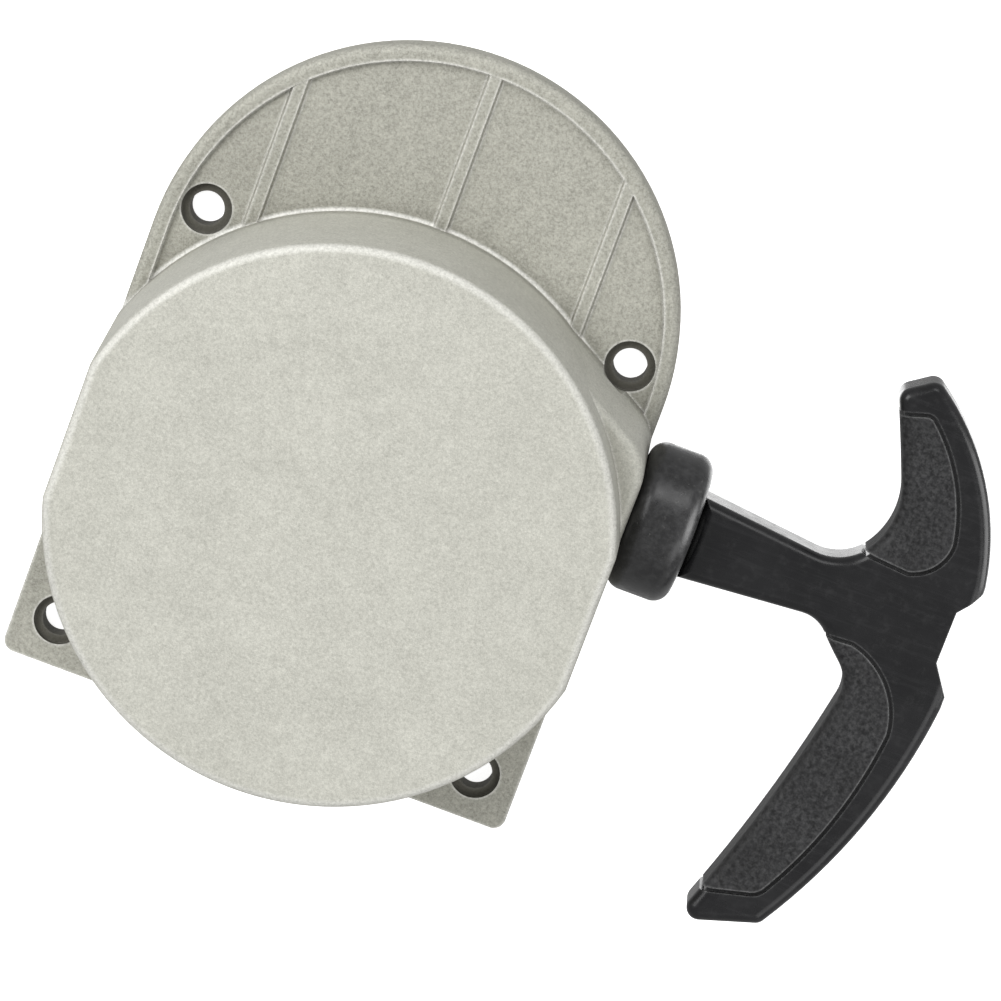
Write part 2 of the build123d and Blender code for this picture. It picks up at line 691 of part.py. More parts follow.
# ---------------------------------------------------------------- handle
HANDLE_MID = Plane.XY.offset(ROPE_Z)
tip_corners = [(35.6, 36.5), (41.5, 40.6), (47.0, -60.3), (32.6, -64.9)]
crown_corners = [(62.0, 9.5), (62.5, -13.0)]
upper_side = [(40.9, 9.3), (42.9, 15.2), (42.0, 21.5), tip_corners[0]]
lower_side = [(38.9, -7.5), (42.9, -11.4), (45.2, -18.0), tip_corners[3]]
with BuildSketch(HANDLE_MID) as handle_outline:
    with BuildLine():
        # each side of the stem, its round into the arm, and the arm's finger side
        for stem_side, stem_end, bends in (
            (7.4, (32.5, 5.2), upper_side),
            (-7.4, (34.0, -5.6), lower_side),
        ):
            run = Line(on_handle(STEM_START, stem_side), on_handle(*stem_end))
            for bend in bends:
                run = TangentArc(run @ 1, on_handle(*bend), tangent=run % 1)
        Line(on_handle(STEM_START, 7.4), on_handle(STEM_START, -7.4))
        # outer side: upper arm, crown, lower arm, and the ends of the arms
        ThreePointArc(
            on_handle(*tip_corners[1]), on_handle(53.4, 29.5), on_handle(*crown_corners[0])
        )
        Line(on_handle(*crown_corners[0]), on_handle(*crown_corners[1]))
        ThreePointArc(
            on_handle(*crown_corners[1]), on_handle(58.6, -34.0), on_handle(*tip_corners[2])
        )
        Line(on_handle(*tip_corners[0]), on_handle(*tip_corners[1]))
        Line(on_handle(*tip_corners[2]), on_handle(*tip_corners[3]))
    make_face()
    for corners, radius in ((tip_corners, HANDLE_CORNER_R), (crown_corners, HANDLE_CROWN_R)):
        for corner in corners:
            near = handle_outline.vertices().sort_by_distance((*on_handle(*corner), ROPE_Z))
            fillet(near[0], radius)

with BuildSketch(HANDLE_MID) as upper_region:
    with BuildLine():
        Polyline(on_handle(48.3, 7.9), on_handle(36, 8.9), on_handle(28, 30.0), on_handle(42.4, 34.4))
        ThreePointArc(on_handle(42.4, 34.4), on_handle(49.9, 25.6), on_handle(53.8, 15.0))
        ThreePointArc(on_handle(53.8, 15.0), on_handle(52.5, 10.7), on_handle(48.3, 7.9))
    make_face()
    fillet(
        upper_region.vertices().sort_by_distance((*on_handle(42.4, 34.4), ROPE_Z))[0],
        PAD_CORNER_R,
    )

with BuildSketch(HANDLE_MID) as lower_region:
    with BuildLine():
        Polyline(on_handle(44.0, -7.7), on_handle(30, -8.6), on_handle(26, -59.7), on_handle(44.6, -54.9))
        ThreePointArc(on_handle(44.0, -7.7), on_handle(51.7, -12.3), on_handle(55.2, -20.5))
        ThreePointArc(on_handle(55.2, -20.5), on_handle(52.5, -36.0), on_handle(44.6, -54.9))
    make_face()
    fillet(
        lower_region.vertices().sort_by_distance((*on_handle(44.6, -54.9), ROPE_Z))[0],
        2 * PAD_CORNER_R,
    )

with BuildPart() as handle_blank:
    extrude(handle_outline.sketch, amount=HANDLE_T / 2, both=True)
    faces_by_z = handle_blank.faces().filter_by(Axis.Z).sort_by(Axis.Z)
    fillet(faces_by_z[0].edges() + faces_by_z[-1].edges(), HANDLE_EDGE_R)


def handle_skin(region, depth):
    """The handle's outer layer, depth thick, where the region covers it."""
    inner = offset(handle_outline.sketch, -depth, kind=Kind.INTERSECTION)
    with BuildPart() as skin:
        add(handle_blank.part)
        extrude(region, amount=HANDLE_T, both=True, mode=Mode.INTERSECT)
        extrude(inner, amount=HANDLE_T / 2 - depth, both=True, mode=Mode.SUBTRACT)
    return skin


upper_grip_pad = handle_skin(upper_region.sketch, PAD_T)
upper_grip_pad.part.label = "upper_grip_pad"
export_step(upper_grip_pad.part, "parts/upper_grip_pad.step")

lower_grip_pad = handle_skin(lower_region.sketch, PAD_T)
lower_grip_pad.part.label = "lower_grip_pad"
export_step(lower_grip_pad.part, "parts/lower_grip_pad.step")

# a groove runs round each pad, on both faces and across the finger side
pad_borders = [
    offset(region, GROOVE_W) - region for region in (upper_region.sketch, lower_region.sketch)
]
grooves = [handle_skin(border, GROOVE_DEPTH) for border in pad_borders]

with BuildPart() as handle_body:
    add(handle_blank.part)
    for layer in (upper_grip_pad, lower_grip_pad, *grooves):
        add(layer.part, mode=Mode.SUBTRACT)

    # saddle in the crown, the knot's pocket, and the rope's hole
    with BuildSketch(HANDLE_MID):
        with BuildLine():
            Polyline(
                on_handle(70, 9.0),
                on_handle(62.2, 9.0),
                on_handle(60.5, 6.3),
                on_handle(CROWN_FLOOR, 4.1),
                on_handle(CROWN_FLOOR, -5.4),
                on_handle(63.0, -11.8),
                on_handle(70, -11.8),
                close=True,
            )
        make_face()
    extrude(amount=HANDLE_T, both=True, mode=Mode.SUBTRACT)
    with BuildSketch(Plane.YZ.offset(FLAT_X + KNOT_FLOOR)):
        with Locations((EXIT_Y, ROPE_Z)):
            Circle(HANDLE_POCKET_R)
    extrude(amount=CROWN_FLOOR, mode=Mode.SUBTRACT)
    with BuildSketch(Plane.YZ.offset(FLAT_X)):
        with Locations((EXIT_Y, ROPE_Z)):
            Circle(ROPE_HOLE_R)
    extrude(amount=KNOT_FLOOR + 1, mode=Mode.SUBTRACT)
handle_body.part.label = "handle_body"
export_step(handle_body.part, "parts/handle_body.step")

knot_seat_x = FLAT_X + KNOT_FLOOR + KNOT_WASHER_T
with BuildPart() as knot_washer:
    with BuildSketch(Plane.YZ.offset(FLAT_X + KNOT_FLOOR)):
        with Locations((EXIT_Y, ROPE_Z)):
            Circle(KNOT_WASHER_R)
            Circle(ROPE_HOLE_R, mode=Mode.SUBTRACT)
    extrude(amount=KNOT_WASHER_T)
knot_washer.part.label = "knot_washer"
export_step(knot_washer.part, "parts/knot_washer.step")

with BuildPart() as handle_rope:
    with BuildSketch(Plane.YZ.offset(COLLAR_END_X)):
        with Locations((EXIT_Y, ROPE_Z)):
            Circle(ROPE_R)
    extrude(amount=knot_seat_x - COLLAR_END_X)
handle_rope.part.label = "handle_rope"
export_step(handle_rope.part, "parts/handle_rope.step")

with BuildPart() as handle_knot:
    with Locations((knot_seat_x + HANDLE_KNOT_R, EXIT_Y, ROPE_Z)):
        Sphere(HANDLE_KNOT_R)
handle_knot.part.label = "handle_knot"
export_step(handle_knot.part, "parts/handle_knot.step")

# ---------------------------------------------------------------- figures for the report
coil_length = coil_line.wires()[0].length
span_length = span_line.wires()[0].length
inner_length = knot_seat_x - COLLAR_END_X
rope_section = pi * ROPE_R**2
print("rope on the reel", round(coil_length, 1), "volume ratio",
      round(rope_coil.part.volume / (rope_section * coil_length), 4))
print("rope to the collar", round(span_length, 1), "volume ratio",
      round(rope_span.part.volume / (rope_section * span_length), 4))
print("rope in the handle", round(inner_length, 1))
print("rope in all", round(coil_length + span_length + inner_length, 1))
print("spring strip length", round(strip_line.wires()[0].length, 1))
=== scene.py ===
"""Recoil starter: looks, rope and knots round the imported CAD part, in metres."""

from math import cos, pi, sin

import bmesh
import bpy
from mathutils import Matrix, Vector


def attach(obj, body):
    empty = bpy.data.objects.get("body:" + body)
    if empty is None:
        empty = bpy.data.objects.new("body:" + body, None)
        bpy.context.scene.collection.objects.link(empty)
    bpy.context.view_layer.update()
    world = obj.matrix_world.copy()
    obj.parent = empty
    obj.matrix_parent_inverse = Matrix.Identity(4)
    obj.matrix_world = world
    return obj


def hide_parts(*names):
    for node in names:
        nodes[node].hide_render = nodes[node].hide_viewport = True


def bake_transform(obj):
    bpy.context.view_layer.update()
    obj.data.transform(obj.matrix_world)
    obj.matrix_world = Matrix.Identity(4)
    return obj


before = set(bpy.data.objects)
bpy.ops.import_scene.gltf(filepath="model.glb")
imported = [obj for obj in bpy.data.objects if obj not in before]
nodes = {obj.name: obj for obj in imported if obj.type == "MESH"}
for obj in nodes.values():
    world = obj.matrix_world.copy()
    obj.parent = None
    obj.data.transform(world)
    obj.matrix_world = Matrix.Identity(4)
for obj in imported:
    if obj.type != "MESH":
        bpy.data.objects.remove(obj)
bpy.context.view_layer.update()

# ---------------------------------------------------------------- sizes shared with the CAD
HOLE_PLACE = 0.039
SPOT_FACE_R = 0.00445
PLATE_TOP_Z = 0.0055
ROPE_R = 0.00175
ROPE_Z = 0.0133
EXIT_Y = 0.0168
COIL_INNER_R = 0.0189
COIL_PITCH = 0.0037
COIL_HALF_TURNS = 9
COIL_START_R = 0.0065
COIL_LEAVE_DEG = 62.85
KNOT_SEAT_X = 0.0963
REEL_KNOT = Vector((0.0104, 0.0066, ROPE_Z))

# ---------------------------------------------------------------- painted highlights on the casting, and the guide plate's rubbed track
# a painted highlight along the rim of the drum's face: each pair is where it starts and where it is
# full
RIM_RADII = (0.0472, 0.0479)
RIM_SIDES_X = (0.0456, 0.0463)
RIM_HEIGHTS = (0.0334, 0.0340)
RIM_HIGHLIGHT_SHARE = 0.36
# a painted highlight line round the drum's foot
FOOT_R = 0.0502
FOOT_HALF_WIDTHS = (0.0001, 0.0006)
FOOT_LOW_Z = (0.0050, 0.0053)
FOOT_HIGHLIGHT_SHARE = 0.8
# the guide plate's track, rubbed by the brake spring
TRACK_R = 0.0068

# ---------------------------------------------------------------- rope
BRAID_CELLS = 6
BRAID_LENGTH = 0.0034
BRAID_ROUNDNESS = 0.35
ROPE_STEP = 0.0008
BLEND_START_X = 0.0508
BLEND_END_X = 0.0575
BLEND_RINGS = 120


# ---------------------------------------------------------------- material nodes
class Surface:
    """A material and short calls that add nodes to it."""

    def __init__(self, name):
        self.material = bpy.data.materials.new(name)
        self.material.use_nodes = True
        self.tree = self.material.node_tree
        self.shader = self.tree.nodes["Principled BSDF"]
        self.place = self.add("TexCoord").outputs["Object"]

    def add(self, kind, inputs=None, **settings):
        made = self.tree.nodes.new("ShaderNode" + kind)
        for key, value in settings.items():
            setattr(made, key, value)
        for key, value in (inputs or {}).items():
            self.put(made.inputs[key], value)
        return made

    def put(self, socket, value):
        if isinstance(value, bpy.types.NodeSocket):
            self.tree.links.new(value, socket)
        else:
            socket.default_value = value

    def maths(self, operation, a, b=0.0, clamp=False):
        made = self.add("Math", {0: a, 1: b}, operation=operation, use_clamp=clamp)
        return made.outputs[0]

    def product(self, first, *others):
        for other in others:
            first = self.maths("MULTIPLY", first, other)
        return first

    def distance(self, a, b):
        """The length of a vector with parts a and b."""
        return self.maths("SQRT", self.maths("ADD", self.product(a, a), self.product(b, b)))

    def noise(self, scale, detail=2.0, rough=0.5, place=None):
        made = self.add(
            "TexNoise",
            {
                "Vector": place or self.place,
                "Scale": scale,
                "Detail": detail,
                "Roughness": rough,
            },
        )
        return made.outputs["Fac"]

    def cells(self, scale, feature="F1"):
        made = self.add("TexVoronoi", {"Vector": self.place, "Scale": scale}, feature=feature)
        return made.outputs["Distance"]

    def stretched(self, x, y, z):
        made = self.add("Mapping", {"Vector": self.place, "Scale": (x, y, z)})
        return made.outputs["Vector"]

    def span(self, value, low, high, to_low=0.0, to_high=1.0, smooth=False):
        made = self.add(
            "MapRange",
            {0: value, 1: low, 2: high, 3: to_low, 4: to_high},
            interpolation_type="SMOOTHSTEP" if smooth else "LINEAR",
            clamp=True,
        )
        return made.outputs[0]

    def mix(self, share, a, b, blend="MIX"):
        made = self.add("Mix", data_type="RGBA", blend_type=blend)
        self.put(made.inputs[0], share)
        self.put(made.inputs[6], a)
        self.put(made.inputs[7], b)
        return made.outputs[2]

    def axes(self):
        made = self.add("SeparateXYZ", {0: self.place})
        return made.outputs[0], made.outputs[1], made.outputs[2]

    def edges(self, radius, gain):
        """1 along sharp edges and creases, 0 on flat and gently curved faces."""
        rounded = self.add("Bevel", {"Radius": radius}, samples=4).outputs[0]
        plain = self.add("NewGeometry").outputs["Normal"]
        dot = self.add("VectorMath", {0: rounded, 1: plain}, operation="DOT_PRODUCT")
        turned = self.maths("SUBTRACT", 1.0, dot.outputs["Value"])
        return self.maths("MULTIPLY", turned, gain, True)

    def crevices(self, distance):
        """1 in the open, falling to 0 deep in a corner."""
        return self.add("AmbientOcclusion", {"Distance": distance}, samples=6).outputs["AO"]

    def bumps(self, *layers):
        """Each layer is (height, depth of the relief in metres, strength)."""
        normal = None
        for height, depth, strength in layers:
            made = self.add("Bump", {"Height": height, "Distance": depth, "Strength": strength})
            if normal is not None:
                self.put(made.inputs["Normal"], normal)
            normal = made.outputs["Normal"]
        self.put(self.shader.inputs["Normal"], normal)

    def finish(self, colour, rough, metal=0.0, specular=0.5, coat=0.0, coat_rough=0.2, sheen=0.0):
        for key, value in (
            ("Base Color", colour),
            ("Roughness", rough),
            ("Metallic", metal),
            ("Specular IOR Level", specular),
            ("Coat Weight", coat),
            ("Coat Roughness", coat_rough),
            ("Sheen Weight", sheen),
        ):
            self.put(self.shader.inputs[key], value)
        return self.material


def rgb(r, g, b):
    return (r, g, b, 1.0)


def cast_aluminium():
    """Blasted casting: fine grain, soft clouding, darker plate, dull rings in the screw holes,
    painted shade in corners and painted highlights along creases, the drum's rim and its foot.
    """
    s = Surface("cast_aluminium")
    grain = s.noise(2100, 3.0, 0.75)
    pits = s.noise(4300, 1.0, 0.5)
    clouds = s.noise(60, 4.0, 0.55)
    blotches = s.noise(420, 3.0, 0.6)
    x, y, z = s.axes()
    on_plate = s.span(z, PLATE_TOP_Z + 0.0012, PLATE_TOP_Z + 0.0040, 1.0, 0.0, True)

    coarse_share = s.span(on_plate, 0.0, 1.0, 0.50, 0.86)
    tone = s.product(s.span(grain, 0.28, 0.72, -0.5, 0.5), coarse_share)
    tone = s.maths("ADD", tone, s.span(pits, 0.3, 0.7, 0.40, 0.60))
    tone = s.maths("ADD", tone, s.span(blotches, 0.3, 0.7, -0.05, 0.05))
    tone = s.maths("ADD", tone, s.span(clouds, 0.3, 0.7, -0.05, 0.05), True)
    colour = s.mix(tone, rgb(0.32, 0.318, 0.278), rgb(0.745, 0.741, 0.672))
    colour = s.mix(s.product(on_plate, 0.85), colour, rgb(0.72, 0.715, 0.695), "MULTIPLY")
    # painted shade: the colour is darkened in corners and creases
    painted_corner_shade = s.span(s.crevices(0.004), 0.35, 0.95, 0.45, 0.0)
    colour = s.mix(painted_corner_shade, colour, rgb(0.36, 0.345, 0.31), "MULTIPLY")

    # paler edges and creases, partly worn edges and partly a painted highlight along the creases; a
    # painted highlight along the rim of the drum's face, and a painted highlight line round its foot
    bright = rgb(0.95, 0.945, 0.915)
    pale_share = s.span(grain, 0.30, 0.60, 0.45, 1.0)
    pale_edges = s.product(s.edges(0.0008, 6.0), pale_share)
    edge_wear_and_highlight_share = s.product(pale_edges, s.span(on_plate, 0.0, 1.0, 0.55, 0.80))
    colour = s.mix(edge_wear_and_highlight_share, colour, rgb(0.93, 0.925, 0.89))
    # a painted highlight along the rim of the drum's face
    from_axis = s.distance(x, y)
    outward = s.maths(
        "MAXIMUM",
        s.span(from_axis, *RIM_RADII),
        s.span(s.maths("ABSOLUTE", x), *RIM_SIDES_X),
    )
    rim = s.product(outward, s.span(z, *RIM_HEIGHTS), pale_share)
    colour = s.mix(s.product(rim, RIM_HIGHLIGHT_SHARE), colour, bright)
    # a painted highlight line round the drum's foot
    off_foot = s.maths("ABSOLUTE", s.maths("SUBTRACT", from_axis, FOOT_R))
    foot = s.product(
        s.span(off_foot, *FOOT_HALF_WIDTHS, 1.0, 0.0),
        s.span(z, PLATE_TOP_Z + 0.0003, PLATE_TOP_Z + 0.0008, 1.0, 0.0),
        s.span(z, *FOOT_LOW_Z),
        pale_share,
    )
    colour = s.mix(s.product(foot, FOOT_HIGHLIGHT_SHARE), colour, bright)

    # screw holes: the spot-face floors darkened to near black
    to_hole = s.distance(
        s.maths("SUBTRACT", s.maths("ABSOLUTE", x), HOLE_PLACE),
        s.maths("SUBTRACT", s.maths("ABSOLUTE", y), HOLE_PLACE),
    )
    ring = s.product(
        s.span(to_hole, SPOT_FACE_R - 0.0001, SPOT_FACE_R + 0.0003, 1.0, 0.0, True),
        s.span(z, PLATE_TOP_Z - 0.0003, PLATE_TOP_Z + 0.0001, 1.0, 0.0, True),
        s.span(grain, 0.2, 0.8, 0.80, 1.0),
    )
    colour = s.mix(ring, colour, rgb(0.060, 0.056, 0.043))

    rough = s.span(grain, 0.25, 0.75, 0.62, 0.80)
    rough = s.maths("SUBTRACT", rough, s.product(pale_edges, 0.14))
    s.bumps(
        (clouds, 0.0005, 0.06),
        (blotches, 0.00022, 0.12),
        (grain, 0.00022, 0.42),
        (pits, 0.00006, 0.20),
    )
    metal = s.span(ring, 0.0, 1.0, 0.42, 0.25)
    return s.finish(colour, rough, metal)


def black_rubber():
    """Moulded rubber: satin, mottled by old dust, with paler rubbed edges."""
    s = Surface("black_rubber")
    fine = s.noise(1500, 3.0, 0.6)
    mottle = s.noise(620, 3.0, 0.65)
    clouds = s.noise(140, 4.0, 0.6)
    dust = s.span(s.noise(1100, 2.0, 0.7), 0.64, 0.74, 0.0, 0.20)
    colour = s.mix(clouds, rgb(0.005, 0.005, 0.0055), rgb(0.014, 0.014, 0.0145))
    colour = s.mix(s.span(mottle, 0.42, 0.68, 0.0, 0.45), colour, rgb(0.040, 0.040, 0.041))
    colour = s.mix(dust, colour, rgb(0.15, 0.15, 0.145))
    pale_edges = s.product(s.edges(0.0006, 4.0), s.span(fine, 0.35, 0.65, 0.2, 0.8))
    colour = s.mix(s.product(pale_edges, 0.35), colour, rgb(0.12, 0.12, 0.12))
    rough = s.span(mottle, 0.3, 0.7, 0.26, 0.48)
    s.bumps((clouds, 0.0005, 0.10), (mottle, 0.00016, 0.22), (fine, 0.00008, 0.18))
    return s.finish(colour, rough, specular=0.42, coat=0.10, coat_rough=0.25)


def black_plastic():
    """Moulded handle plastic: satin black with fine flow streaks along the stem."""
    s = Surface("black_plastic")
    streaks = s.noise(1.0, 4.0, 0.65, s.stretched(90, 1500, 1500))
    fine = s.noise(1900, 2.0, 0.6)
    clouds = s.noise(95, 4.0, 0.6)
    scuffs = s.noise(520, 3.0, 0.7)
    colour = s.mix(clouds, rgb(0.004, 0.004, 0.0045), rgb(0.010, 0.010, 0.011))
    colour = s.mix(s.span(streaks, 0.5, 0.8, 0.0, 0.20), colour, rgb(0.045, 0.045, 0.047))
    colour = s.mix(s.span(scuffs, 0.55, 0.75, 0.0, 0.14), colour, rgb(0.050, 0.050, 0.051))
    pale_edges = s.product(s.edges(0.0005, 4.0), s.span(fine, 0.3, 0.65, 0.25, 1.0))
    colour = s.mix(s.product(pale_edges, 0.5), colour, rgb(0.17, 0.17, 0.17))
    rough = s.maths(
        "ADD",
        s.span(clouds, 0.25, 0.75, 0.20, 0.30),
        s.span(scuffs, 0.4, 0.8, 0.0, 0.08),
    )
    s.bumps((clouds, 0.0004, 0.07), (streaks, 0.00006, 0.16), (fine, 0.00004, 0.12))
    return s.finish(colour, rough, specular=0.30)


def grip_rubber():
    """Soft grip: a fine leathery grain and dust held in its low places."""
    s = Surface("grip_rubber")
    grain = s.cells(1150, "SMOOTH_F1")
    fine = s.noise(2100, 3.0, 0.6)
    mottle = s.noise(1250, 3.0, 0.75)
    clouds = s.noise(110, 3.0, 0.5)
    colour = s.mix(s.span(grain, 0.15, 0.75), rgb(0.004, 0.004, 0.0045), rgb(0.016, 0.016, 0.017))
    colour = s.mix(s.span(mottle, 0.42, 0.72, 0.0, 0.60), colour, rgb(0.066, 0.066, 0.067))
    colour = s.mix(s.span(clouds, 0.40, 0.70, 0.0, 0.30), colour, rgb(0.004, 0.004, 0.004))
    pale_edges = s.product(s.edges(0.0006, 4.0), s.span(fine, 0.3, 0.62, 0.35, 1.0))
    colour = s.mix(s.product(pale_edges, 0.6), colour, rgb(0.24, 0.24, 0.24))
    rough = s.span(mottle, 0.25, 0.75, 0.40, 0.64)
    s.bumps(
        (clouds, 0.0006, 0.15),
        (mottle, 0.00026, 0.40),
        (grain, 0.00026, 0.36),
        (fine, 0.00006, 0.22),
    )
    return s.finish(colour, rough, specular=0.26, sheen=0.03)


def reel_plastic():
    """Glass-filled nylon: dark grey with short pale fibres and flow marks."""
    s = Surface("reel_plastic")
    fibres = s.noise(1.0, 2.0, 0.6, s.stretched(500, 2600, 1500))
    flow = s.noise(60, 5.0, 0.65)
    fine = s.noise(1700, 2.0, 0.6)
    colour = s.mix(flow, rgb(0.022, 0.023, 0.025), rgb(0.055, 0.056, 0.060))
    colour = s.mix(s.span(fibres, 0.60, 0.75, 0.0, 0.30), colour, rgb(0.17, 0.17, 0.175))
    pale_edges = s.edges(0.0005, 3.0)
    colour = s.mix(s.product(pale_edges, 0.4), colour, rgb(0.20, 0.20, 0.20))
    rough = s.span(flow, 0.25, 0.75, 0.40, 0.58)
    s.bumps((flow, 0.0006, 0.10), (fibres, 0.00006, 0.20), (fine, 0.00004, 0.12))
    return s.finish(colour, rough)


def steel(name, dark, light, rough_low, rough_high, streak, spots, spot_colour):
    """Rolled or turned metal: fine streaks one way, small spots, and bright rubbed edges."""
    s = Surface(name)
    lines = s.noise(1.0, 3.0, 0.6, s.stretched(*streak))
    clouds = s.noise(240, 4.0, 0.6)
    specks = s.noise(1400, 3.0, 0.65)
    colour = s.mix(lines, dark, light)
    colour = s.mix(s.span(clouds, 0.3, 0.75, 0.0, 0.35), colour, dark)
    colour = s.mix(s.span(specks, 0.62, 0.75, 0.0, spots), colour, spot_colour)
    pale_edges = s.product(s.edges(0.0004, 4.0), s.span(clouds, 0.3, 0.6, 0.4, 1.0))
    colour = s.mix(s.product(pale_edges, 0.6), colour, rgb(0.82, 0.82, 0.81))
    rough = s.maths(
        "ADD",
        s.span(lines, 0.2, 0.8, rough_low, rough_high),
        s.span(specks, 0.5, 0.8, 0.0, 0.12),
    )
    s.bumps((clouds, 0.0003, 0.08), (lines, 0.00004, 0.20), (specks, 0.00004, 0.15))
    return s.finish(colour, rough, 0.92)


def guide_plastic():
    """Moulded acetal, rubbed grey where the pegs and the brake spring slide."""
    s = Surface("guide_plastic")
    flow = s.noise(90, 4.0, 0.6)
    fine = s.noise(1600, 2.0, 0.6)
    x, y, _ = s.axes()
    off_track = s.maths("ABSOLUTE", s.maths("SUBTRACT", s.distance(x, y), TRACK_R))
    pale_share = s.span(off_track, 0.0006, 0.0016, 0.5, 0.0, True)
    colour = s.mix(flow, rgb(0.050, 0.051, 0.055), rgb(0.085, 0.086, 0.092))
    colour = s.mix(pale_share, colour, rgb(0.20, 0.20, 0.205))
    pale_edges = s.edges(0.0004, 3.0)
    colour = s.mix(s.product(pale_edges, 0.4), colour, rgb(0.28, 0.28, 0.28))
    rough = s.maths("SUBTRACT", s.span(flow, 0.25, 0.75, 0.38, 0.52), s.product(pale_share, 0.2))
    s.bumps((flow, 0.0004, 0.08), (fine, 0.00005, 0.14))
    return s.finish(colour, rough)


def rope_nylon(name, braid_along_x):
    """Nylon rope: fine fibres, grey rub marks, and on the straight rope a braid round the X axis
    with painted shade in the gaps between its strands.
    """
    s = Surface(name)
    fibres = s.noise(1.0, 3.0, 0.7, s.stretched(3800, 3800, 1300))
    grime = s.noise(150, 4.0, 0.65)
    colour = s.mix(fibres, rgb(0.50, 0.48, 0.42), rgb(0.84, 0.82, 0.76))
    colour = s.mix(s.span(grime, 0.45, 0.75, 0.0, 0.45), colour, rgb(0.26, 0.245, 0.21))
    layers = [(fibres, 0.0001, 0.45)]
    if braid_along_x:
        x, y, z = s.axes()
        angle = s.maths(
            "ARCTAN2",
            s.maths("SUBTRACT", z, ROPE_Z),
            s.maths("SUBTRACT", y, EXIT_Y),
        )
        round_share = s.product(angle, BRAID_CELLS / (2 * pi))
        along = s.product(x, 1 / BRAID_LENGTH)
        lobes = []
        for sign in ("ADD", "SUBTRACT"):
            phase = s.product(s.maths(sign, round_share, along), pi)
            lobes.append(s.maths("ABSOLUTE", s.maths("SINE", phase)))
        pillow = s.maths("POWER", s.product(*lobes), BRAID_ROUNDNESS)
        # painted shade in the gaps between the braid's strands
        colour = s.mix(s.span(pillow, 0.2, 0.7, 0.75, 0.0), colour, rgb(0.17, 0.16, 0.14))
        layers.insert(0, (pillow, 0.0005, 0.9))
    s.bumps(*layers)
    return s.finish(colour, s.span(fibres, 0.3, 0.7, 0.62, 0.80), specular=0.3, sheen=0.25)


aluminium = cast_aluminium()
rubber = black_rubber()
plastic = black_plastic()
grip = grip_rubber()
reel_material = reel_plastic()
guide_material = guide_plastic()
spring_steel = steel(
    "spring_steel",
    dark=rgb(0.10, 0.105, 0.13),
    light=rgb(0.26, 0.27, 0.31),
    rough_low=0.24,
    rough_high=0.38,
    streak=(2600, 2600, 60),
    spots=0.25,
    spot_colour=rgb(0.12, 0.10, 0.08),
)
zinc_steel = steel(
    "zinc_steel",
    dark=rgb(0.42, 0.42, 0.41),
    light=rgb(0.68, 0.68, 0.66),
    rough_low=0.28,
    rough_high=0.42,
    streak=(900, 900, 900),
    spots=0.25,
    spot_colour=rgb(0.34, 0.33, 0.30),
)
pawl_steel = steel(
    "pawl_steel",
    dark=rgb(0.22, 0.22, 0.22),
    light=rgb(0.44, 0.44, 0.43),
    rough_low=0.30,
    rough_high=0.48,
    streak=(1900, 260, 260),
    spots=0.4,
    spot_colour=rgb(0.16, 0.13, 0.10),
)
bronze = steel(
    "bush_bronze",
    dark=rgb(0.36, 0.24, 0.12),
    light=rgb(0.62, 0.45, 0.24),
    rough_low=0.34,
    rough_high=0.50,
    streak=(1200, 1200, 1200),
    spots=0.6,
    spot_colour=rgb(0.16, 0.10, 0.06),
)
rope_laid = rope_nylon("rope_laid", False)
rope_straight = rope_nylon("rope_straight", True)

LOOKS = {
    "housing": aluminium,
    "rope_bush": zinc_steel,
    "collar": rubber,
    "spring_cover": zinc_steel,
    "recoil_spring": spring_steel,
    "centre_washer": zinc_steel,
    "centre_screw": zinc_steel,
    "reel": reel_material,
    "reel_bush": bronze,
    "thrust_washer": zinc_steel,
    "guide_plate": guide_material,
    "brake_spring": spring_steel,
    "pawl_1": pawl_steel,
    "pawl_2": pawl_steel,
    "handle_body": plastic,
    "upper_grip_pad": grip,
    "lower_grip_pad": grip,
    "knot_washer": zinc_steel,
}
for name, look in LOOKS.items():
    mesh = nodes[name].data
    mesh.materials.clear()
    mesh.materials.append(look)


# ---------------------------------------------------------------- rope and knots
def resampled(points, step):
    """Points about a step apart along a line of points."""
    lengths = [0.0]
    for a, b in zip(points, points[1:]):
        lengths.append(lengths[-1] + (b - a).length)
    count = max(2, round(lengths[-1] / step))
    made, i = [], 0
    for k in range(count + 1):
        want = lengths[-1] * k / count
        while i < len(points) - 2 and lengths[i + 1] < want:
            i += 1
        share = (want - lengths[i]) / max(lengths[i + 1] - lengths[i], 1e-9)
        made.append(points[i].lerp(points[i + 1], min(share, 1.0)))
    return made


def braid_height(along, share_round):
    """0 in the gaps between the strands and 1 on top of them."""
    u = BRAID_CELLS * share_round + along / BRAID_LENGTH
    v = BRAID_CELLS * share_round - along / BRAID_LENGTH
    return abs(sin(pi * u) * sin(pi * v)) ** BRAID_ROUNDNESS


def smooth_outward(mesh):
    """Turns every face outward and shades it smooth."""
    work = bmesh.new()
    work.from_mesh(mesh)
    bmesh.ops.recalc_face_normals(work, faces=work.faces)
    work.to_mesh(mesh)
    work.free()
    for face in mesh.polygons:
        face.use_smooth = True


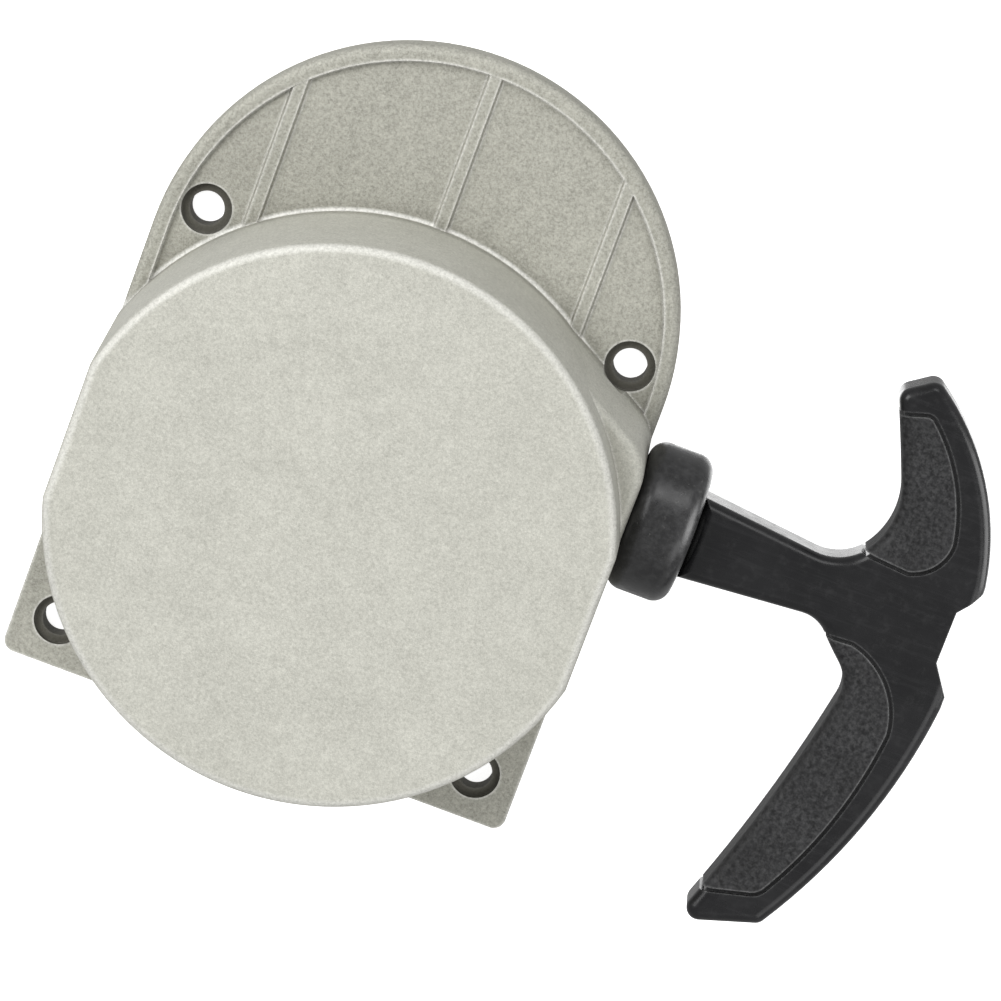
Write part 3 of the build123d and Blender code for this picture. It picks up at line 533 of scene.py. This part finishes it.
def rope_tube(name, points, radius, sides=24, relief=0.09, plain=None):
    """A closed tube along the points with a braided skin. It is smooth where plain(point) holds."""
    last_point = len(points) - 1
    tangents = []
    for i in range(len(points)):
        tangents.append((points[min(i + 1, last_point)] - points[max(i - 1, 0)]).normalized())
    side = tangents[0].orthogonal().normalized()
    along = 0.0
    vertices = []
    for i, (point, tangent) in enumerate(zip(points, tangents)):
        side = (side - tangent * side.dot(tangent)).normalized()
        other = tangent.cross(side)
        if i:
            along += (point - points[i - 1]).length
        braided = plain is None or not plain(point)
        for k in range(sides):
            angle = 2 * pi * k / sides
            gap = relief * (1 - braid_height(along, k / sides)) if braided else 0.0
            vertices.append(point + (side * cos(angle) + other * sin(angle)) * radius * (1 - gap))
    faces = []
    for i in range(last_point):
        for k in range(sides):
            a, b = i * sides + k, i * sides + (k + 1) % sides
            faces.append((a, b, b + sides, a + sides))
    # melted ends: a small dome at each
    for ring, point, out in (
        (0, points[0], -tangents[0]),
        (last_point * sides, points[-1], tangents[-1]),
    ):
        last = ring
        for share, lift in ((0.75, 0.35), (0.4, 0.55)):
            first = len(vertices)
            for k in range(sides):
                vertices.append(point + (vertices[ring + k] - point) * share + out * radius * lift)
            for k in range(sides):
                after = (k + 1) % sides
                faces.append((last + k, last + after, first + after, first + k))
            last = first
        vertices.append(point + out * radius * 0.6)
        for k in range(sides):
            faces.append((last + k, last + (k + 1) % sides, len(vertices) - 1))
    mesh = bpy.data.meshes.new(name)
    mesh.from_pydata([tuple(v) for v in vertices], [], faces)
    mesh.validate()
    made = bpy.data.objects.new(name, mesh)
    bpy.context.scene.collection.objects.link(made)
    smooth_outward(mesh)
    return made


def arc(centre, radius, start_deg, end_deg, count):
    """Points along an arc round (centre, 0) at the rope's height."""
    made = []
    for i in range(count + 1):
        angle = (start_deg + (end_deg - start_deg) * i / count) * pi / 180
        made.append(Vector((centre + radius * cos(angle), radius * sin(angle), ROPE_Z)))
    return made


# the rope wound on the reel, clockwise and outwards from its knot, in half turns round two centres
coil_points = arc(COIL_INNER_R - COIL_START_R, COIL_START_R, 90, 0, 16)
coil_r, turned_deg = COIL_INNER_R, 0
for half in range(COIL_HALF_TURNS):
    centre = 0.0 if half % 2 == 0 else COIL_PITCH / 2
    if half % 2:
        coil_r += COIL_PITCH / 2
    coil_points += arc(centre, coil_r, turned_deg, turned_deg - 180, 60)[1:]
    if half % 2:
        coil_r += COIL_PITCH / 2
    turned_deg -= 180
last_r = coil_r + COIL_PITCH / 2
coil_points += arc(COIL_PITCH / 2, last_r, 180, COIL_LEAVE_DEG, 40)[1:]
rope_on_reel = rope_tube("rope_on_reel", resampled(coil_points, ROPE_STEP), ROPE_R, 18)
rope_on_reel.data.materials.append(rope_laid)
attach(rope_on_reel, "reel")
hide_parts("rope_coil")

# the rope from the reel through the bush and the handle to its knot
route = bpy.data.curves.new("route", "CURVE")
route.dimensions = "3D"
line = route.splines.new("NURBS")
controls = [
    coil_points[-1],
    Vector((0.0400, 0.02045, ROPE_Z)),
    Vector((0.0470, EXIT_Y, ROPE_Z)),
    Vector((0.0540, EXIT_Y, ROPE_Z)),
    Vector((0.0760, EXIT_Y, ROPE_Z)),
    Vector((KNOT_SEAT_X, EXIT_Y, ROPE_Z)),
]
line.points.add(len(controls) - 1)
for point, control in zip(line.points, controls):
    point.co = (*control, 1.0)
line.order_u = 3
line.use_endpoint_u = True
route.resolution_u = 24
route_object = bpy.data.objects.new("route", route)
bpy.context.scene.collection.objects.link(route_object)
bpy.context.view_layer.update()
route_mesh = bpy.data.meshes.new_from_object(route_object)
route_points = [v.co.copy() for v in route_mesh.vertices]
bpy.data.objects.remove(route_object)
bpy.data.meshes.remove(route_mesh)

# close rings where the rope stretches when the handle is pulled, half a step clear of its others
CLEAR = ROPE_STEP / 2
taut_points = []
for point in resampled(route_points, ROPE_STEP):
    if point.x < BLEND_START_X - CLEAR or point.x > BLEND_END_X + CLEAR:
        taut_points.append(point)
blend_points = []
for i in range(BLEND_RINGS + 1):
    x = BLEND_START_X + (BLEND_END_X - BLEND_START_X) * i / BLEND_RINGS
    blend_points.append(Vector((x, EXIT_Y, ROPE_Z)))
first_after = next(i for i, p in enumerate(taut_points) if p.x > BLEND_END_X)
taut_points = taut_points[:first_after] + blend_points + taut_points[first_after:]
taut_rope = rope_tube(
    "taut_rope",
    taut_points,
    ROPE_R,
    plain=lambda p: BLEND_START_X - 0.001 < p.x < BLEND_END_X + 0.001,
)
taut_rope.data.materials.append(rope_straight)
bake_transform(taut_rope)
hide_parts("rope_span", "handle_rope")


def stopper_knot(name, seat, along, across, rope_radius, turns, core, inward):
    """A barrel knot: the rope runs up the middle, folds over and winds back round itself."""
    third = along.cross(across)
    wrap_r = 2.02 * rope_radius
    turn_pitch = 2.05 * rope_radius
    fold_angle = 0.75 * pi
    fold_steps = 14
    core_steps = 6
    steps_per_turn = 26

    def wound(angle, r, lift):
        return seat + along * lift + (across * cos(angle) + third * sin(angle)) * r

    points = [seat - along * inward, seat - along * inward * 0.5, seat]
    for i in range(1, core_steps + 1):
        points.append(seat + along * core * i / core_steps)
    for i in range(1, fold_steps + 1):
        share = i / fold_steps
        lift = core + rope_radius * 0.9 * sin(share * pi) + 0.15 * rope_radius
        points.append(wound(share * fold_angle, wrap_r * sin(share * pi / 2), lift))
    steps = int(steps_per_turn * turns)
    for i in range(1, steps + 1):
        wraps = turns * i / steps
        points.append(wound(fold_angle + 2 * pi * wraps, wrap_r, core - turn_pitch * wraps))
    return rope_tube(name, resampled(points, 0.00035), rope_radius, relief=0.10)


handle_knot = stopper_knot(
    "knot_in_handle",
    seat=Vector((KNOT_SEAT_X + 0.0004, EXIT_Y, ROPE_Z)),
    along=Vector((1, 0, 0)),
    across=Vector((0, 0.6, 0.8)),
    rope_radius=0.00120,
    turns=1.9,
    core=0.0054,
    inward=0.0005,
)
handle_knot.data.materials.append(rope_laid)
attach(handle_knot, "handle")
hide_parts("handle_knot")

reel_knot = stopper_knot(
    "knot_in_reel",
    seat=REEL_KNOT + Vector((0, 0, 0.0028)),
    along=Vector((0, 0, -1)),
    across=Vector((1, 0, 0)),
    rope_radius=0.00105,
    turns=2.0,
    core=0.0050,
    inward=0.0004,
)
reel_knot.data.materials.append(rope_laid)
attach(reel_knot, "reel")
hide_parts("reel_knot")


# ---------------------------------------------------------------- floor, light and camera
def pale_floor():
    """A pale matt floor that can be seen only from above."""
    s = Surface("pale_floor")
    mottle = s.noise(9, 3.0, 0.5)
    colour = s.mix(mottle, rgb(0.93, 0.93, 0.93), rgb(0.96, 0.96, 0.96))
    s.put(s.shader.inputs["Emission Color"], rgb(1.0, 1.0, 1.0))
    s.put(s.shader.inputs["Emission Strength"], 0.85)
    s.finish(colour, s.span(mottle, 0.2, 0.8, 0.85, 0.95), specular=0.1)
    clear = s.add("BsdfTransparent")
    share = s.add("NewGeometry").outputs["Backfacing"]
    both = s.add("MixShader", {0: share, 1: s.shader.outputs[0], 2: clear.outputs[0]})
    output = next(n for n in s.tree.nodes if n.type == "OUTPUT_MATERIAL")
    s.tree.links.new(both.outputs[0], output.inputs["Surface"])
    return s.material


HALF_FLOOR = 4.0
FLOOR_Z = -0.0003
floor_mesh = bpy.data.meshes.new("floor")
floor_mesh.from_pydata(
    [
        (-HALF_FLOOR, -HALF_FLOOR, 0),
        (HALF_FLOOR, -HALF_FLOOR, 0),
        (HALF_FLOOR, HALF_FLOOR, 0),
        (-HALF_FLOOR, HALF_FLOOR, 0),
    ],
    [],
    [(0, 1, 2, 3)],
)
floor = bpy.data.objects.new("floor", floor_mesh)
bpy.context.scene.collection.objects.link(floor)
floor.location.z = FLOOR_Z
floor_mesh.materials.append(pale_floor())
# only the camera sees the floor, so that the underside is lit as well
floor.visible_diffuse = False
floor.visible_glossy = False
floor.visible_transmission = False
floor.visible_shadow = False


def area_light(name, at, size, power, aim=(0.02, 0.0, 0.01)):
    data = bpy.data.lights.new(name, "AREA")
    data.shape = "RECTANGLE"
    data.size, data.size_y = size
    data.energy = power
    lamp = bpy.data.objects.new(name, data)
    bpy.context.scene.collection.objects.link(lamp)
    lamp.location = at
    lamp.rotation_euler = (Vector(aim) - Vector(at)).to_track_quat("-Z", "Y").to_euler()
    return lamp


def light_only(lamp, names):
    """Makes a lamp light only the named CAD nodes."""
    receivers = bpy.data.collections.new(lamp.name + "_parts")
    for name in names:
        receivers.objects.link(nodes[name])
    lamp.light_linking.receiver_collection = receivers


area_light("key", at=(-0.95, 0.42, 1.00), size=(0.9, 0.7), power=13)
area_light("back", at=(0.10, 1.15, 0.85), size=(0.9, 0.5), power=5)
area_light("fill", at=(0.9, -0.5, 1.2), size=(0.9, 0.9), power=6)

# two panels that only some black parts catch: the white table under their sides, and a side light
table_panel = area_light(
    "table_panel",
    at=(0.11, 0.014, -0.10),
    size=(0.26, 0.088),
    power=0.15,
    aim=(0.11, 0.0141, 0.0),
)
light_only(table_panel, ("collar", "handle_body"))
side_panel = area_light("side_panel", at=(1.30, 0.25, 0.35), size=(0.9, 1.0), power=18)
light_only(side_panel, ("collar", "handle_body", "upper_grip_pad", "lower_grip_pad"))

world = bpy.data.worlds.new("studio")
world.use_nodes = True
sky = world.node_tree.nodes["Background"]
sky.inputs["Color"].default_value = rgb(1.0, 1.0, 1.0)
sky.inputs["Strength"].default_value = 0.56
scene = bpy.context.scene
scene.world = world
scene.view_settings.view_transform = "Standard"

CAMERA_AT = Vector((0.00383, 0.20269, 0.89404))
CAMERA_RIGHT = Vector((0.93722, 0.34490, -0.05162)).normalized()
CAMERA_BACK = Vector((-0.02464, 0.21316, 0.97671)).normalized()
camera_up = CAMERA_BACK.cross(CAMERA_RIGHT)
camera_data = bpy.data.cameras.new("camera")
camera_data.sensor_width = 36
camera_data.lens = 187.9
camera_data.clip_start = 0.05
camera_data.clip_end = 20
camera = bpy.data.objects.new("camera", camera_data)
scene.collection.objects.link(camera)
turn = Matrix((CAMERA_RIGHT, camera_up, CAMERA_BACK)).transposed()
camera.matrix_world = Matrix.Translation(CAMERA_AT) @ turn.to_4x4()
scene.camera = camera
